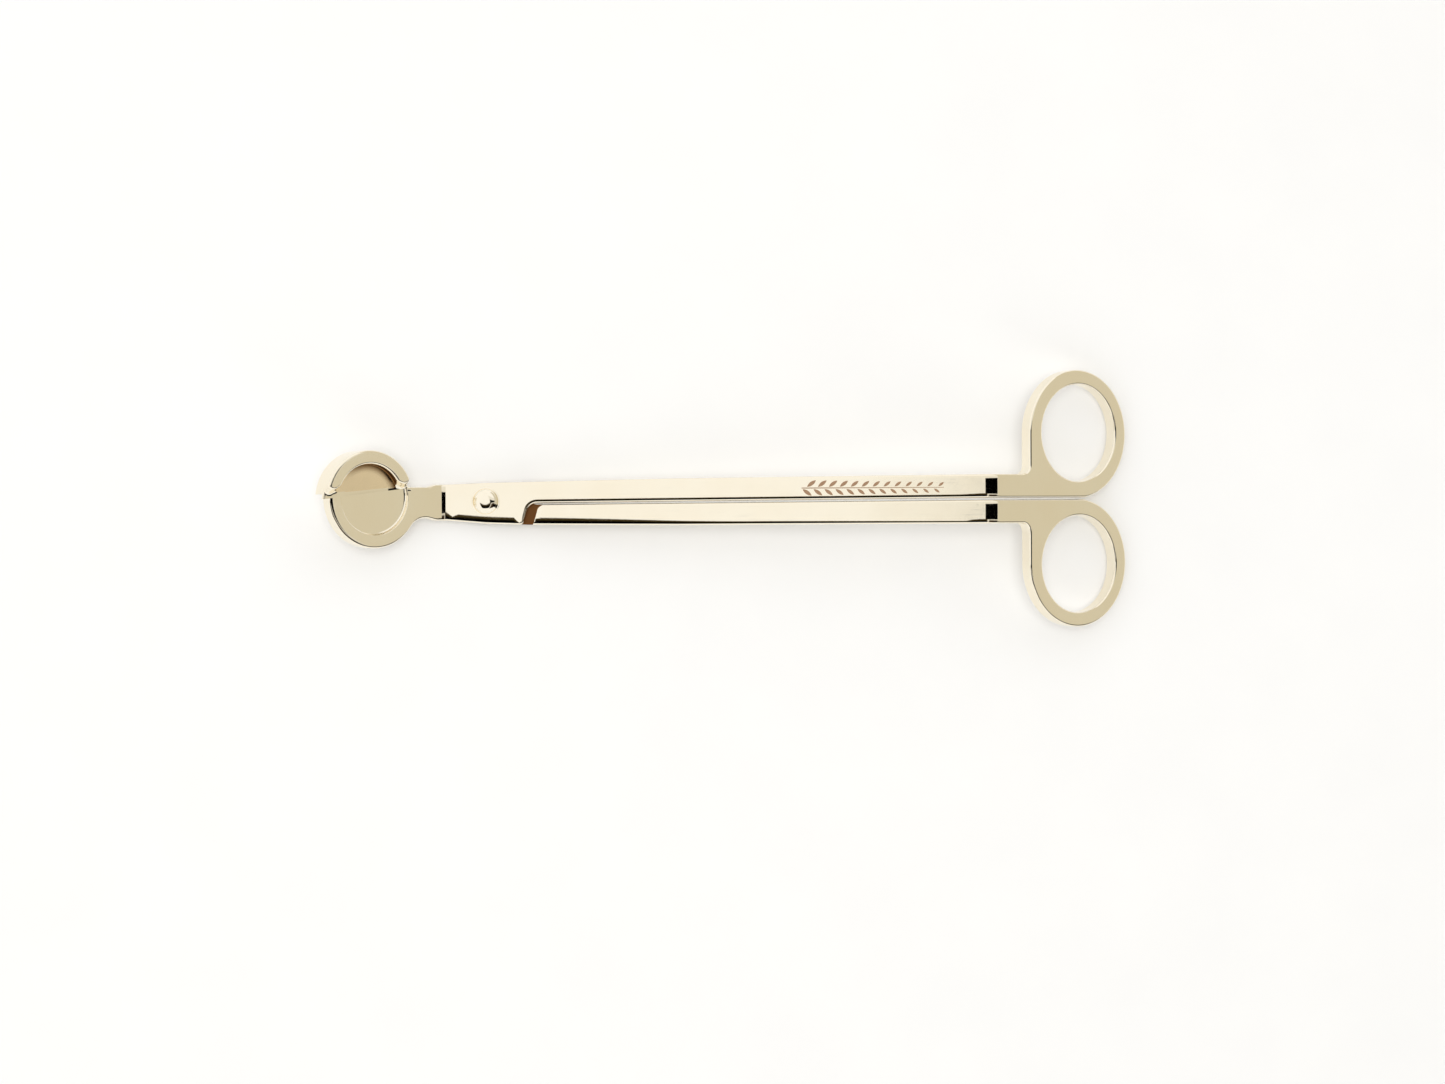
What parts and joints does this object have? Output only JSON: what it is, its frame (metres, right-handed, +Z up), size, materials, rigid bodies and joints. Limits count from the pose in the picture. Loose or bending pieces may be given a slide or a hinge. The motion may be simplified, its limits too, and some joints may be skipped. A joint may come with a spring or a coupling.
{
  "type": "wick trimmer",
  "caption": "Riveted scissor-type candle wick trimmer: long bent shafts with finger rings, a round catching tray and a half-cup jaw with a straight blade.",
  "frame": {"origin": "on the table under the centre of the closed tool's box, where it lies on its neck bend and ring ends", "axes": "+X from the head to the finger rings along the closed shafts, +Y across, towards the tray arm's finger ring, +Z up from the table"},
  "size_m": [0.1872, 0.059, 0.0207],
  "materials": {
    "arm_plating": "mirror-polished pale gold plating",
    "rivet_plating": "polished pale gold plating",
    "washer_metal": "satin pale gold metal"
  },
  "bodies": {
    "tray_side": {"tray_arm": "arm_plating", "pivot_rivet": "rivet_plating", "rivet_washer": "washer_metal"},
    "cutter_side": {"cutter_arm": "arm_plating"}
  },
  "joints": [
    {"name": "pivot", "type": "hinge", "parent": "tray_side", "child": "cutter_side", "pos_m": [-0.0552, 0, 0.00299], "axis": [0.1433, 0, -0.9897], "range_deg": [0, 45]}
  ]
}
